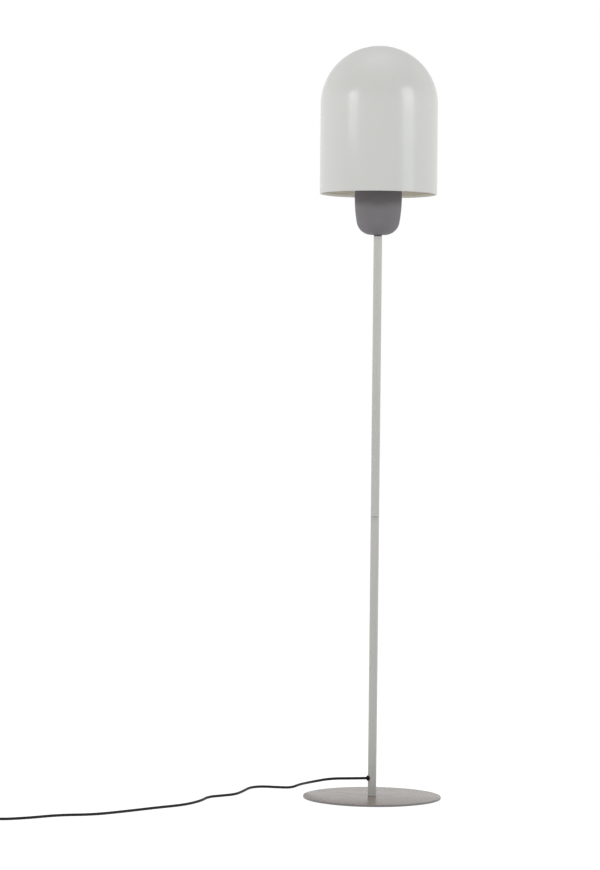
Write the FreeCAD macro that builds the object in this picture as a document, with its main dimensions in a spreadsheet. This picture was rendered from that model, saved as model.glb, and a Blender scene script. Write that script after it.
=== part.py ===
# Mushroom floor lamp, in millimetres, +Z up. The origin is on the floor under the middle of the base.
# The cord leaves the pole towards -X. Texts such as "pole_radius - tube_wall" are sheet formulas.

import FreeCAD, Part
import math
import os
import re
import Sketcher
from FreeCAD import Placement, Rotation, Vector

sizes = {
    "foot_sheet_radius": 131, "foot_sheet_hole": 14, "foot_sheet_thickness": 1,
    "plate_radius": 137.5, "plate_thickness": 4, "plate_chamfer": 0.6,
    "screw_head_radius": 6, "screw_head_height": 3.2, "screw_radius": 3, "screw_length": 22,
    "screw_socket": 2.3, "socket_depth": 2,
    "pole_radius": 8.5, "tube_wall": 1.5, "lower_tube_length": 553, "upper_tube_length": 555.5,
    "joint_ring_height": 4, "joint_gap_depth": 0.9, "joint_gap_height": 0.6,
    "insert_length": 24, "line_chamfer": 0.35, "fit": 0.05,
    "nipple_radius": 5, "nipple_bore": 3.6, "nipple_depth": 16,
    "collar_radius": 8, "collar_height": 3,
    "cup_radius": 47, "cup_height": 116, "cup_wall": 1.2, "cup_floor_radius": 13.5,
    "cup_corner_radius": 29.5, "cup_corner_angle": 80,
    "washer_radius": 11, "washer_thickness": 1, "nut_circumradius": 8.1, "nut_height": 5,
    "holder_radius": 19.5, "holder_wall": 2, "holder_cap_height": 20, "holder_body_height": 34,
    "holder_boss_radius": 9, "holder_boss_height": 4, "holder_shoulder": 11, "block_height": 10,
    "shell_radius": 13.6, "shell_wall": 0.4, "shell_inset": 1.5, "contact_radius": 4, "contact_height": 3,
    "terminal_spacing": 9, "terminal_head": 2.4, "terminal_shank": 1.5, "core_radius": 0.9,
    "core_spacing": 1.3,
    "bulb_gap": 0.3, "bulb_cap_radius": 13.2, "bulb_cap_height": 26, "bulb_cap_wall": 0.6,
    "tip_radius": 4.5, "tip_height": 1.2, "insulator_radius": 9.4, "insulator_height": 3.2,
    "housing_neck": 14.6, "housing_radius": 28.2, "housing_height": 66, "housing_wall": 1.5,
    "globe_radius": 30, "globe_wall": 1.2, "board_thickness": 1.6, "board_inset": 1.2,
    "housing_spigot": 5,
    "shade_radius": 117, "shade_height": 295, "shade_wall": 1.2, "hem_depth": 2.4, "hem_height": 6,
    "carrier_rise": 35.7, "carrier_ring_radius": 54, "carrier_lip_depth": 8, "carrier_thickness": 1.5,
    "carrier_gap": 0.5, "seat_gap": 0.2, "arm_width": 14, "tab_height": 15, "tab_gap": 0.1,
    "cord_radius": 2.6, "cord_exit_height": 40.5, "cord_exit_bend": 5.6, "cord_fit": 0.15,
    "cord_exit_turn": 22, "cord_lead": 28, "cord_end_proud": 1,
    "grommet_radius": 5.5, "grommet_flange": 1.3, "grommet_nose": 1.6, "grommet_base_radius": 4.9,
    "grommet_tip_radius": 3.9, "grommet_hole_radius": 4, "grommet_inside": 1,
    "switch_x": -789, "switch_y": -396, "switch_length": 62, "switch_width": 34, "switch_wall": 1.8,
    "switch_base_height": 7, "switch_cover_height": 13, "switch_round": 5, "button_radius": 11,
    "button_flange_radius": 12.6, "button_flange": 2.2, "button_proud": 2.6, "button_gap": 0.3,
    "button_dome": 1.6, "button_travel": 3, "plunger_radius": 3, "plunger_overlap": 0.5,
    "mechanism_length": 20, "mechanism_width": 16, "mechanism_height": 9.4, "boss_radius": 3.4,
    "boss_x": 20, "boss_y": 9, "small_screw_radius": 1.4, "small_head_radius": 2.5,
    "small_head_height": 2, "small_head_inset": 3, "small_screw_length": 12,
    "relief_length": 20, "relief_wide": 5.2, "relief_narrow": 3.5,
    "coil_x": -856, "coil_y": -318, "coil_radius": 37, "coil_pitch": 6, "coil_turns": 5,
    "coil_layer_rise": 5.8, "coil_lead": 5.2, "coil_approach": 27, "coil_clearance": 0.2,
    "tie_thickness": 1, "tie_width": 10, "tie_gap": 0.8,
    "tail_length": 38.8, "tail_shift": 2, "plug_height": 14, "plug_round": 2.2, "plug_length": 34,
    "plug_width": 35, "plug_back_width": 14, "plug_shoulder": 14, "plug_relief_length": 22,
    "pin_radius": 2, "pin_length": 19, "pin_spacing": 18.6,
}

doc = FreeCAD.newDocument("floor_lamp")
sheet = doc.addObject("Spreadsheet::Sheet", "Sheet")
for row, (name, number) in enumerate(sizes.items(), start=1):
    sheet.set(f"A{row}", name)
    sheet.set(f"B{row}", str(number))
    sheet.setAlias(f"B{row}", name)
doc.recompute()
nodes = []


# --- sheet formulas and small builders ---

def linked(text):
    """A formula with each size's name pointing into the sheet."""
    return re.sub(r"[a-z][a-z_]*", lambda word: "Sheet." * (word.group() in sizes) + word.group(), text)


def number_of(text):
    return float(sheet.evalExpression(linked(text)))


def bind(thing, formulas):
    for place, text in formulas.items():
        thing.setExpression(place, linked(text))
    return thing


def move(thing, x="0", y="0", z="0"):
    places = {"Placement.Base.x": x, "Placement.Base.y": y, "Placement.Base.z": z}
    return bind(thing, {place: text for place, text in places.items() if text != "0"})


def node(thing, label):
    """Names a finished sub-part, whose shape goes to a file of that name."""
    thing.Label = label
    nodes.append(thing)
    return thing


turned_to = {
    "Z": Rotation(),
    "X": Rotation(Vector(0, 1, 0), 90),
    "-X": Rotation(Vector(0, 1, 0), -90),
    "Y": Rotation(Vector(1, 0, 0), -90),
}


def rod(name, radius, length, x="0", y="0", z="0", along="Z"):
    thing = doc.addObject("Part::Cylinder", name)
    thing.Placement = Placement(Vector(), turned_to[along])
    return move(bind(thing, {"Radius": radius, "Height": length}), x, y, z)


def cone(name, radius_start, radius_end, length, x="0", y="0", z="0", along="Z"):
    thing = doc.addObject("Part::Cone", name)
    thing.Placement = Placement(Vector(), turned_to[along])
    return move(bind(thing, {"Radius1": radius_start, "Radius2": radius_end, "Height": length}), x, y, z)


def block(name, length, width, height, x="0", y="0", z="0"):
    """A box whose middle is at x, y and whose underside is at z."""
    thing = bind(doc.addObject("Part::Box", name), {"Length": length, "Width": width, "Height": height})
    return move(thing, f"{x} - ({length}) / 2", f"{y} - ({width}) / 2", z)


def faced(thing):
    """Turns a piece about the pole, from -X to the way in which the cord leaves."""
    thing.Placement = Placement(Vector(), Rotation(Vector(0, 0, 1), number_of("cord_exit_turn")))
    return thing


def joined(name, *things):
    thing = doc.addObject("Part::MultiFuse", name)
    thing.Shapes = list(things)
    return thing


def gathered(name, *things):
    """Separate solids that share one node."""
    thing = doc.addObject("Part::Compound", name)
    thing.Links = list(things)
    return thing


def without(name, base, *tools):
    thing = doc.addObject("Part::Cut", name)
    thing.Base = base
    thing.Tool = tools[0] if len(tools) == 1 else joined(name + "_tools", *tools)
    return thing


def origin_plane(body, role):
    return next(feature for feature in body.Origin.OriginFeatures if feature.Role == role)


def new_sketch(body, name, role):
    sketch = body.newObject("Sketcher::SketchObject", name)
    sketch.AttachmentSupport = (origin_plane(body, role), [""])
    sketch.MapMode = "FlatFace"
    return sketch


def pin_to(sketch, piece, end, across, up):
    """Ties one end of a line or arc to two formulas, measured from the sketch's origin."""
    for kind, text, axis in (("DistanceX", across, -2), ("DistanceY", up, -1)):
        if text == "0":
            sketch.addConstraint(Sketcher.Constraint("PointOnObject", piece, end, axis))
        else:
            place = sketch.addConstraint(Sketcher.Constraint(kind, -1, 1, piece, end, number_of(text)))
            sketch.setExpression(f"Constraints[{place}]", linked(text))


def draw_outline(sketch, corners):
    """A closed outline. A corner is (across, up) or (across, up, radius, turn) for an arc that arrives there."""
    points = [Vector(number_of(corner[0]), number_of(corner[1]), 0) for corner in corners]
    ends = []
    for place, corner in enumerate(corners):
        start, end = points[place - 1], points[place]
        if len(corner) == 2:
            piece = sketch.addGeometry(Part.LineSegment(start, end), False)
            ends.append((piece, 1, 2))
            continue
        radius = number_of(corner[2])
        left = corner[3] == "left"
        chord = end - start
        side = Vector(-chord.y, chord.x, 0).normalize() * (1 if left else -1)
        middle = (start + end) * 0.5 + side * math.sqrt(max(radius ** 2 - chord.Length ** 2 / 4, 0))
        first, last = (start, end) if left else (end, start)
        angles = [math.atan2(point.y - middle.y, point.x - middle.x) for point in (first, last)]
        circle = Part.Circle(middle, Vector(0, 0, 1), radius)
        piece = sketch.addGeometry(Part.ArcOfCircle(circle, angles[0], angles[1]), False)
        ends.append((piece, 1, 2) if left else (piece, 2, 1))
        size = sketch.addConstraint(Sketcher.Constraint("Radius", piece, radius))
        sketch.setExpression(f"Constraints[{size}]", linked(corner[2]))
    for place, corner in enumerate(corners):
        piece, head, tail = ends[place]
        following, next_head, next_tail = ends[(place + 1) % len(ends)]
        sketch.addConstraint(Sketcher.Constraint("Coincident", piece, tail, following, next_head))
        pin_to(sketch, piece, tail, corner[0], corner[1])


def turned(label, corners, z="0"):
    """A body turned about the Z axis from an outline of (radius, height) corners."""
    body = doc.addObject("PartDesign::Body", label)
    sketch = new_sketch(body, label + "_outline", "XZ_Plane")
    draw_outline(sketch, corners)
    turn = body.newObject("PartDesign::Revolution", label + "_turn")
    turn.Profile = (sketch, [""])
    turn.ReferenceAxis = (sketch, ["V_Axis"])
    turn.Angle = 360
    return move(body, z=z)


def ring(label, outer, inner, height, z="0"):
    return turned(label, [(inner, "0"), (outer, "0"), (outer, height), (inner, height)], z)


def padded(label, corners, height, role="XY_Plane"):
    body = doc.addObject("PartDesign::Body", label)
    sketch = new_sketch(body, label + "_outline", role)
    draw_outline(sketch, corners)
    pad = body.newObject("PartDesign::Pad", label + "_pad")
    pad.Profile = (sketch, [""])
    bind(pad, {"Length": height})
    return body


def edges_where(shape, test):
    return [f"Edge{place + 1}" for place, edge in enumerate(shape.Edges) if test(edge)]


# --- heights up the lamp ---

plate_top = "(foot_sheet_thickness + plate_thickness)"
lower_top = f"({plate_top} + lower_tube_length)"
joint_top = f"({lower_top} + joint_ring_height)"
upper_top = f"({joint_top} + upper_tube_length)"
pole_top = f"({upper_top} + joint_ring_height)"
cup_bottom = f"({pole_top} + collar_height)"
cup_mouth = f"({cup_bottom} + cup_height)"
shade_rim = f"({cup_mouth} + seat_gap - carrier_rise)"
nut_bottom = f"({cup_bottom} + cup_wall + washer_thickness)"
holder_bottom = f"({nut_bottom} + nut_height)"
holder_split = f"({holder_bottom} + holder_cap_height)"
nipple_top = f"({holder_bottom} + holder_boss_height + holder_wall)"
cord_top = f"({nipple_top} + cord_end_proud)"
block_top = f"({holder_split} + block_height / 2)"
block_bottom = f"({holder_split} - block_height / 2)"
bulb_bottom = f"({block_top} + contact_height + bulb_gap)"
tube_bore = "(pole_radius - tube_wall)"
insert_radius = f"({tube_bore} - fit)"
nipple_hole = "(nipple_radius + fit)"


# --- base ---

def make_base():
    sheet_ring = ring("foot_sheet", "foot_sheet_radius", "foot_sheet_hole", "foot_sheet_thickness")
    node(sheet_ring, "foot_sheet")
    inset = "(plate_radius - plate_chamfer)"
    shoulder = "(plate_thickness - plate_chamfer)"
    hole = "(screw_radius + fit)"
    plate = turned("base_plate", [
        ("screw_head_radius + fit", "0"), (inset, "0"), ("plate_radius", "plate_chamfer"),
        ("plate_radius", shoulder), (inset, "plate_thickness"), (hole, "plate_thickness"),
        (hole, "screw_head_height + fit")], "foot_sheet_thickness")
    node(plate, "base_plate")
    screw = turned("base_screw_body", [
        ("0", "0"), ("screw_head_radius", "0"), ("screw_radius", "screw_head_height"),
        ("screw_radius", "screw_length - plate_chamfer"),
        ("screw_radius - plate_chamfer", "screw_length"), ("0", "screw_length")], "foot_sheet_thickness")
    socket = bind(doc.addObject("Part::Prism", "screw_socket_tool"),
                  {"Circumradius": "screw_socket", "Height": "socket_depth"})
    socket.Polygon = 6
    node(without("base_screw", screw, move(socket, z="foot_sheet_thickness")), "base_screw")
    node(ring("pole_foot_insert", insert_radius, hole, "insert_length", plate_top), "pole_foot_insert")


# --- pole ---

def tube_outline(length):
    inset = "(pole_radius - line_chamfer)"
    return [(tube_bore, "0"), (inset, "0"), ("pole_radius", "line_chamfer"),
            ("pole_radius", f"{length} - line_chamfer"), (inset, length), (tube_bore, length)]


def ringed_insert(label, z):
    """A threaded insert that hangs in a tube's top end from a ring as wide as the tube, with a narrow gap
    above it."""
    inset = "(pole_radius - line_chamfer)"
    neck = "(pole_radius - joint_gap_depth)"
    top = "(insert_length + joint_ring_height)"
    outline = [(nipple_hole, "0"), (insert_radius, "0"), (insert_radius, "insert_length"),
               (inset, "insert_length"), ("pole_radius", "insert_length + line_chamfer"),
               ("pole_radius", f"{top} - joint_gap_height"), (neck, f"{top} - joint_gap_height"),
               (neck, top), (nipple_hole, top)]
    node(turned(label, outline, f"{z} - insert_length"), label)


def make_pole():
    lower = turned("lower_tube_body", tube_outline("lower_tube_length"), plate_top)
    exit_hole = rod("cord_hole_tool", "grommet_hole_radius", "pole_radius * 1.5", z="cord_exit_height",
                    along="-X")
    node(faced(without("lower_tube", lower, exit_hole)), "lower_tube")
    ringed_insert("lower_joint_insert", lower_top)
    node(turned("upper_tube", tube_outline("upper_tube_length"), joint_top), "upper_tube")
    ringed_insert("pole_top_insert", upper_top)
    node(ring("upper_joint_insert", insert_radius, nipple_hole, "insert_length", joint_top),
         "upper_joint_insert")
    node(ring("joint_nipple", "nipple_radius", "nipple_bore", "2 * nipple_depth",
              f"{joint_top} - nipple_depth"), "joint_nipple")
    neck_length = f"{nipple_top} - {pole_top} + nipple_depth"
    node(ring("neck_nipple", "nipple_radius", "nipple_bore", neck_length, f"{pole_top} - nipple_depth"),
         "neck_nipple")
    node(ring("neck_collar", "collar_radius", nipple_hole, "collar_height", pole_top), "neck_collar")


# --- lamp cup ---

def make_cup():
    bend = "cup_corner_angle * 1deg"
    side = f"((cup_radius - cup_floor_radius - cup_corner_radius * sin({bend})) / (1 - sin({bend})))"
    corner_x = f"(cup_floor_radius + cup_corner_radius * sin({bend}))"
    corner_z = f"(cup_corner_radius * (1 - cos({bend})))"
    upright = f"({corner_z} + {side} * cos({bend}))"
    inner = "(cup_radius - cup_wall)"
    cup = turned("lamp_cup", [
        (nipple_hole, "0"), ("cup_floor_radius", "0"), (corner_x, corner_z, "cup_corner_radius", "left"),
        ("cup_radius", upright, side, "left"), ("cup_radius", "cup_height"), (inner, "cup_height"),
        (inner, upright),
        (f"{corner_x} - cup_wall * sin({bend})", f"{corner_z} + cup_wall * cos({bend})",
         f"{side} - cup_wall", "right"),
        ("cup_floor_radius", "cup_wall", "cup_corner_radius - cup_wall", "right"),
        (nipple_hole, "cup_wall")], cup_bottom)
    node(cup, "lamp_cup")
    node(ring("cup_washer", "washer_radius", nipple_hole, "washer_thickness", f"{cup_bottom} + cup_wall"),
         "cup_washer")
    hexagon = bind(doc.addObject("Part::Prism", "nut_hexagon"),
                   {"Circumradius": "nut_circumradius", "Height": "nut_height"})
    hexagon.Polygon = 6
    nut = without("cup_nut", move(hexagon, z=nut_bottom), rod("nut_tool", nipple_hole, "nut_height",
                                                              z=nut_bottom))
    node(nut, "cup_nut")


# --- lampholder ---

def make_lampholder():
    bore = "(holder_radius - holder_wall)"
    cap = turned("lampholder_cap", [
        (nipple_hole, "0"), ("holder_boss_radius", "0"), ("holder_boss_radius", "holder_boss_height"),
        ("holder_radius", "holder_shoulder"), ("holder_radius", "holder_cap_height"),
        (bore, "holder_cap_height"), (bore, "holder_shoulder + holder_wall / 2"),
        ("holder_boss_radius", "holder_boss_height + holder_wall"),
        (nipple_hole, "holder_boss_height + holder_wall")], holder_bottom)
    node(cap, "lampholder_cap")
    shell_seat = "(shell_radius + shell_wall + fit)"
    skirt = turned("lampholder_body", [
        (bore, "0"), ("holder_radius", "0"), ("holder_radius", "holder_body_height - line_chamfer"),
        ("holder_radius - line_chamfer", "holder_body_height"), (shell_seat, "holder_body_height"),
        (shell_seat, "block_height / 2"), (bore, "block_height / 2")], holder_split)
    node(skirt, "lampholder_body")
    insulator = rod("contact_block_disc", f"{bore} - fit", "block_height", z=block_bottom)
    holes = [rod(f"terminal_hole_{side}", "terminal_shank + fit", "block_height", f"{side} * terminal_spacing",
                 z=block_bottom) for side in (-1, 1)]
    node(without("contact_block", insulator, *holes), "contact_block")
    shell_height = "holder_body_height - block_height / 2 - shell_inset"
    node(ring("thread_shell", "shell_radius + shell_wall", "shell_radius", shell_height, block_top),
         "thread_shell")
    contact = turned("centre_contact", [
        ("0", "0"), ("contact_radius", "0"), ("contact_radius", "contact_height / 3"),
        ("contact_radius / 2", "contact_height"), ("0", "contact_height")], block_top)
    node(contact, "centre_contact")
    screws = []
    cores = []
    for side in (-1, 1):
        x = f"{side} * terminal_spacing"
        head = rod(f"terminal_head_{side}", "terminal_head", "terminal_head", x,
                   z=f"{block_bottom} - terminal_head")
        shank = rod(f"terminal_shank_{side}", "terminal_shank", "block_height / 2", x, z=block_bottom)
        screws.append(joined(f"terminal_screw_{side}", head, shank))
        cores.append(core_wire(side))
    node(gathered("terminal_screws", *screws), "terminal_screws")
    shape = doc.addObject("Part::Feature", "lampholder_cores")
    shape.Shape = Part.makeCompound(cores)
    node(shape, "lampholder_cores")


# --- cords ---

def bent_path(points):
    """Straight runs joined by tangent arcs, each arc as large as its two runs allow."""
    edges = []
    radii = []
    start = points[0]
    for before, corner, after in zip(points, points[1:], points[2:]):
        arriving = (corner - before).normalize()
        leaving = (after - corner).normalize()
        turn = arriving.getAngle(leaving)
        cut = 0.45 * min((corner - before).Length, (after - corner).Length)
        radius = cut / math.tan(turn / 2)
        inwards = (leaving - arriving).normalize()
        middle = corner + inwards * (radius / math.cos(turn / 2) - radius)
        first, last = corner - arriving * cut, corner + leaving * cut
        edges += [Part.LineSegment(start, first).toShape(), Part.Arc(first, middle, last).toShape()]
        radii.append(radius)
        start = last
    edges.append(Part.LineSegment(start, points[-1]).toShape())
    return Part.Wire(edges), radii


def tube(path, start, direction, radius):
    profile = Part.Wire(Part.makeCircle(radius, start, direction))
    return path.makePipeShell([profile], True, False)


def report_tube(label, path, shape, radius, radii):
    ratio = shape.Volume / (math.pi * radius ** 2 * path.Length)
    print(f"{label}: length {path.Length:.1f}, volume / (section x length) {ratio:.4f}")
    print("  arc radii", " ".join(f"{bend:.1f}" for bend in radii))


def laid_cord(label, points, radius):
    path, radii = bent_path(points)
    shape = tube(path, points[0], points[1] - points[0], radius)
    report_tube(label, path, shape, radius, radii)
    return shape


def cord_node(label, shape):
    thing = doc.addObject("Part::Feature", label)
    thing.Shape = shape
    node(thing, label)


def core_wire(side):
    """One insulated core, from the cord's end up to its terminal screw."""
    inner = side * number_of("core_spacing")
    outer = side * number_of("terminal_spacing")
    start = number_of(cord_top)
    screw = number_of(f"{block_bottom} - terminal_head")
    middle = (start + screw) / 2
    points = [Vector(inner, 0, start), Vector(inner, 0, middle - 1), Vector(outer, 0, middle + 1),
              Vector(outer, 0, screw)]
    return laid_cord(f"lampholder core {side}", points, number_of("core_radius"))


grommet_end = "(pole_radius + grommet_flange + grommet_nose)"
coil_start_x = "(coil_x - coil_radius)"
coil_height = "(cord_radius + tie_thickness + coil_clearance)"
switch_entry = "switch_base_height"
plug_entry = "plug_height / 2"
tail_end_y = "(coil_y + coil_lead + tail_length)"


def make_cords():
    radius = floor = number_of("cord_radius")
    bend = number_of("cord_exit_bend")
    turn = math.radians(number_of("cord_exit_turn"))
    out = Vector(-math.cos(turn), -math.sin(turn), 0)
    middle = Vector(0, 0, number_of("cord_exit_height"))
    end = middle + out * number_of(grommet_end)
    turn_start = middle + out * bend
    turn_end = middle + Vector(0, 0, bend)
    turn_middle = middle + (out + Vector(0, 0, 1)) * (bend * (1 - math.sin(math.pi / 4)))
    inside = Part.Wire([Part.LineSegment(end, turn_start).toShape(),
                        Part.Arc(turn_start, turn_middle, turn_end).toShape(),
                        Part.LineSegment(turn_end, Vector(0, 0, number_of(cord_top))).toShape()])
    shape = tube(inside, end, out * -1, radius)
    report_tube("pole_cable", inside, shape, radius, [bend])
    cord_node("pole_cable", shape)

    switch_x, switch_y = number_of("switch_x"), number_of("switch_y")
    half = number_of("switch_length") / 2
    entry = number_of(switch_entry)
    near, far = switch_x + half, switch_x - half
    lead = number_of("cord_lead")
    lamp_route = [
        tuple(end), (-40, -15, 41), (-84, -6, 39), (-123, 37, 26), (-148, 109, 11.5), (-164, 125.5, floor),
        (-194, 129.5, floor), (-224, 139, floor), (-248.5, 122, floor), (-258.5, 68.5, floor),
        (-272, 13, floor), (-298, -10.5, floor), (-326, -32.5, floor), (-336, -91.5, floor),
        (-365, -154, floor), (-416, -199, floor), (-469, -253.5, floor), (-529, -308.5, floor),
        (-592, -320, floor), (-648, -366, floor), (-698, -390, floor), (near + lead, switch_y, entry),
        (near, switch_y, entry)]
    cord_node("lamp_cord", laid_cord("lamp_cord", [Vector(*point) for point in lamp_route], radius))

    start_x, coil_y = number_of(coil_start_x), number_of("coil_y")
    coil_low = number_of(coil_height)
    coil_lead = number_of("coil_lead")
    plug_route = [
        (far, switch_y, entry), (far - lead, switch_y, entry), (far - lead - 32, switch_y + 14, 4.8),
        (start_x, coil_y - coil_lead - number_of("coil_approach"), coil_low),
        (start_x, coil_y - coil_lead, coil_low)]
    cord_node("plug_cord", laid_cord("plug_cord", [Vector(*point) for point in plug_route], radius))

    tail_start = coil_y + coil_lead
    tail = number_of("tail_length")
    high = coil_low + number_of("coil_layer_rise")
    plug_x = start_x + number_of("tail_shift")
    low = number_of(plug_entry)
    tail_route = [(start_x, tail_start, high), (start_x, tail_start + 0.3 * tail, high),
                  (plug_x, tail_start + 0.7 * tail, low), (plug_x, tail_start + tail, low)]
    cord_node("coil_tail", laid_cord("coil_tail", [Vector(*point) for point in tail_route], radius))


def coil_point(turn):
    """A point of the coil's centre line after so many turns, clockwise from its -X side."""
    turns, pitch = number_of("coil_turns"), number_of("coil_pitch")
    quarter = 0.25
    left = turn - turns / 2
    reach = abs(left)
    if reach < quarter:
        reach = left ** 2 / (2 * quarter) + quarter / 2
    climb = math.sin(math.pi / 2 * max(-1, min(1, left / quarter)))
    spiral = number_of("coil_radius") - pitch * (turns / 2 - reach)
    angle = math.pi - 2 * math.pi * turn
    height = number_of(coil_height) + number_of("coil_layer_rise") * (1 + climb) / 2
    return Vector(number_of("coil_x") + spiral * math.cos(angle),
                  number_of("coil_y") + spiral * math.sin(angle), height)


def coil_heading(turn):
    step = 1e-4
    last = number_of("coil_turns")
    if turn in (0, last):
        return Vector(0, 1, 0)
    return (coil_point(turn + step) - coil_point(turn - step)).normalize()


def arc_from(start, heading, end):
    """The arc that leaves start along heading and reaches end."""
    chord = end - start
    half = heading.getAngle(chord)
    side = heading.cross(chord).cross(heading).normalize()
    radius = chord.Length / (2 * math.sin(half))
    middle = start + heading * (radius * math.sin(half)) + side * (radius * (1 - math.cos(half)))
    return Part.Arc(start, middle, end).toShape(), radius


def biarc(start, heading, end, end_heading):
    gap = end - start
    both = heading + end_heading
    share = 2 * (1 - heading.dot(end_heading))
    reach = (-gap.dot(both) + math.sqrt(gap.dot(both) ** 2 + share * gap.dot(gap))) / share
    meeting = (start + end + (heading - end_heading) * reach) * 0.5
    first, radius = arc_from(start, heading, meeting)
    second, other = arc_from(end, end_heading * -1, meeting)
    return [first, second], min(radius, other)


def make_coil():
    radius = number_of("cord_radius")
    lead = Vector(0, number_of("coil_lead"), 0)
    turns = number_of("coil_turns")
    quarters = int(round(4 * turns))
    places = [turn / 4 for turn in range(quarters + 1)]
    points = [coil_point(turn) for turn in places]
    headings = [coil_heading(turn) for turn in places]
    edges = [Part.LineSegment(points[0] - lead, points[0]).toShape()]
    radii = []
    for place in range(quarters):
        arcs, tightest = biarc(points[place], headings[place], points[place + 1], headings[place + 1])
        edges += arcs
        radii.append(tightest)
    edges.append(Part.LineSegment(points[-1], points[-1] + lead).toShape())
    path = Part.Wire(Part.__sortEdges__(edges))
    shape = tube(path, points[0] - lead, lead, radius)
    report_tube("cord_coil", path, shape, radius, [min(radii)])
    samples = [coil_point(turns * place / 400) for place in range(401)]
    apart = 30
    least = min((first - second).Length for place, first in enumerate(samples)
                for second in samples[place + apart:])
    print(f"cord_coil: least gap to itself {least - 2 * radius:.2f}")
    cord_node("cord_coil", shape)


def make_tie():
    """A flat strap round the turns, on the coil's +X side."""
    clear = "(cord_radius + tie_gap)"
    span = f"(coil_pitch * coil_turns / 2 + 2 * {clear})"
    middle = "(coil_x + coil_radius - coil_pitch * coil_turns / 4)"
    tall = f"({coil_height} - tie_thickness + coil_layer_rise + cord_radius + tie_gap)"
    outer = block("tie_outside", f"{span} + 2 * tie_thickness", "tie_width", f"{tall} + 2 * tie_thickness",
                  middle, "coil_y")
    inner = block("tie_inside", span, "tie_width * 2", tall, middle, "coil_y", "tie_thickness")
    node(without("cord_tie", outer, inner), "cord_tie")


def make_grommet():
    z = "cord_exit_height"
    flange = rod("grommet_flange_rod", "grommet_radius", "grommet_flange + pole_radius / 2",
                 "-pole_radius / 2", z=z, along="-X")
    nose = cone("grommet_nose_cone", "grommet_base_radius", "grommet_tip_radius", "grommet_nose",
                "-(pole_radius + grommet_flange)", z=z, along="-X")
    pole = rod("grommet_pole_tool", "pole_radius + fit", "4 * grommet_radius", z=f"{z} - 2 * grommet_radius")
    outside = without("grommet_outside", joined("grommet_flange_and_nose", flange, nose), pole)
    inside = f"({tube_bore} - grommet_inside)"
    neck = rod("grommet_neck", "grommet_hole_radius - fit", f"pole_radius + grommet_flange - {inside}",
               f"-{inside}", z=z, along="-X")
    whole = joined("grommet_whole", outside, neck)
    bore = rod("grommet_bore_tool", "cord_radius + cord_fit", "2 * pole_radius + grommet_nose",
               z=z, along="-X")
    node(faced(without("cord_grommet", whole, bore)), "cord_grommet")


# --- bulb ---

def make_bulb():
    tip = turned("bulb_tip", [("0", "0"), ("tip_radius / 2", "0"), ("tip_radius", "tip_height / 2"),
                              ("tip_radius", "tip_height"), ("0", "tip_height")], bulb_bottom)
    node(tip, "bulb_tip_contact")
    insulator = turned("bulb_insulator", [
        ("0", "0"), ("tip_radius", "0"), ("insulator_radius", "insulator_height - tip_height"),
        ("insulator_radius", "insulator_height"), ("0", "insulator_height")], f"{bulb_bottom} + tip_height")
    node(insulator, "bulb_insulator")
    inner = "(bulb_cap_radius - bulb_cap_wall)"
    shoulder = "(2 * insulator_height)"
    cap = turned("bulb_cap", [
        ("insulator_radius + fit", "insulator_height"), ("bulb_cap_radius", shoulder),
        ("bulb_cap_radius", "bulb_cap_height"), (inner, "bulb_cap_height"),
        (inner, f"{shoulder} + bulb_cap_wall"),
        ("insulator_radius + fit", "insulator_height + 2 * bulb_cap_wall")], bulb_bottom)
    node(cap, "bulb_cap")
    neck = f"({inner} - fit)"
    wide = "(housing_radius - housing_wall)"
    sweep = "(2 * (housing_height - bulb_cap_height))"
    housing = turned("bulb_housing", [
        (f"{neck} - housing_wall", "bulb_cap_height - housing_spigot"),
        (neck, "bulb_cap_height - housing_spigot"),
        (neck, "bulb_cap_height"), ("housing_neck", "bulb_cap_height"),
        ("housing_radius", "housing_height", sweep, "right"), (wide, "housing_height"),
        ("housing_neck - housing_wall", "bulb_cap_height + housing_wall", f"{sweep} + housing_wall", "left"),
        (f"{neck} - housing_wall", "bulb_cap_height + housing_wall")], bulb_bottom)
    node(housing, "bulb_housing")
    board = rod("led_board", f"{wide} - board_inset", "board_thickness",
                z=f"{bulb_bottom} + housing_height - board_thickness")
    node(board, "led_board")
    outer_rise = "sqrt(globe_radius^2 - housing_radius^2)"
    top = f"(housing_height + {outer_rise} + globe_radius)"
    thin = "(globe_radius - globe_wall)"
    foot = f"sqrt({thin}^2 - ({outer_rise})^2)"
    globe = turned("bulb_globe", [
        ("housing_radius", "housing_height"), ("0", top, "globe_radius", "left"), ("0", f"{top} - globe_wall"),
        (foot, "housing_height", thin, "right")], bulb_bottom)
    node(globe, "bulb_globe")


# --- shade ---

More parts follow.
